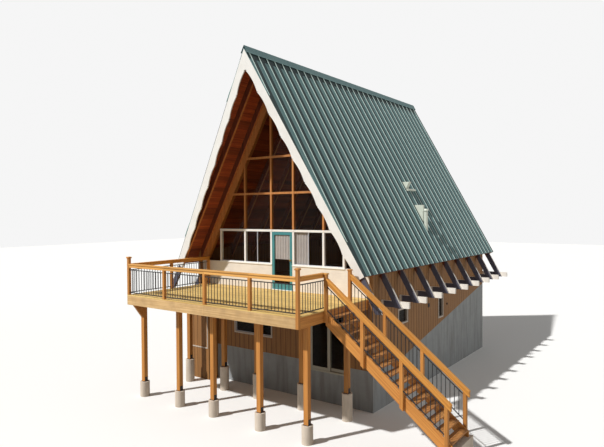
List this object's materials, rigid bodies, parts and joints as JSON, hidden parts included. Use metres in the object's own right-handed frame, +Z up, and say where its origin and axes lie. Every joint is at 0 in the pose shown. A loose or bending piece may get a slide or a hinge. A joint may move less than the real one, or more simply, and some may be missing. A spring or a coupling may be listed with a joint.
{
  "type": "a-frame cabin",
  "caption": "A-frame cabin with a steep seamed metal roof over glazed gable, raised timber deck on posts, straight outside stair, and a lower storey behind a stem wall.",
  "frame": {"origin": "centre of the bounding box at the lowest ground, under the footings and piers", "axes": "+Z up, +Y from the glazed front gable to the back along the ridge, +X to the side of the outside stair"},
  "size_m": [11.5, 14.158, 11.0638],
  "materials": {
    "concrete": "rough cast concrete",
    "siding": "tan vertical board siding",
    "cream_paint": "cream paint",
    "white_paint": "white paint",
    "rafter_wood": "oiled fir",
    "soffit_wood": "dark stained boards",
    "floor_wood": "varnished boards",
    "cedar": "stained cedar",
    "deck_wood": "weathered boards",
    "roof_metal": "satin green coated steel",
    "vent_metal": "pale coated steel",
    "door_paint": "teal paint",
    "door_frame": "beige coated aluminium",
    "black_metal": "black powder coat",
    "glass": "clear float glass"
  },
  "bodies": {
    "house": {"foundation_ends": "concrete", "foundation_sides": "concrete", "lower_floor": "concrete", "piers": "concrete", "stair_footing": "concrete", "lower_front_wall": "siding", "lower_front_header": "siding", "lower_front_corner": "siding", "right_wall": "siding", "left_wall": "siding", "rear_lower_wall": "siding", "rear_gable_wall": "siding", "closet": "siding", "floor_beams": "cream_paint", "main_floor": "floor_wood", "rafters_left": "rafter_wood", "rafters_right": "rafter_wood", "roof_boards_left": "soffit_wood", "roof_boards_right": "soffit_wood", "metal_roof_left": "roof_metal", "metal_roof_right": "roof_metal", "ridge_cap": "roof_metal", "front_bargeboard_left": "white_paint", "front_bargeboard_right": "white_paint", "rear_bargeboard_left": "white_paint", "rear_bargeboard_right": "white_paint", "front_sill_walls": "cream_paint", "window_row_frame": "white_paint", "gable_timbers": "rafter_wood", "front_glass": "glass", "door_hinges": "black_metal", "sliding_door_frame": "door_frame", "wall_window_frames": "white_paint", "wall_window_glass": "glass", "deck_boards": "deck_wood", "deck_rim": "cedar", "deck_joists": "cedar", "deck_beams": "cedar", "support_posts": "cedar", "rail_posts": "cedar", "top_rails": "cedar", "deck_balusters": "black_metal", "stair_stringers": "cedar", "stair_treads": "deck_wood", "stair_handrails": "cedar", "stair_balusters": "black_metal", "roof_vents": "vent_metal"},
    "front_door": {"front_door": "door_paint", "front_door_glass": "glass"},
    "sliding_door": {"sliding_door": "door_frame", "sliding_door_glass": "glass"}
  },
  "joints": [
    {"name": "front_door_hinge", "type": "hinge", "parent": "house", "child": "front_door", "pos_m": [-1.416, -3.48075, 4.35], "axis": [0, 0, 1], "range_deg": [0, 90]},
    {"name": "sliding_door_track", "type": "slide", "parent": "house", "child": "sliding_door", "axis": [-1, 0, 0], "range_m": [0, 0.65]}
  ]
}
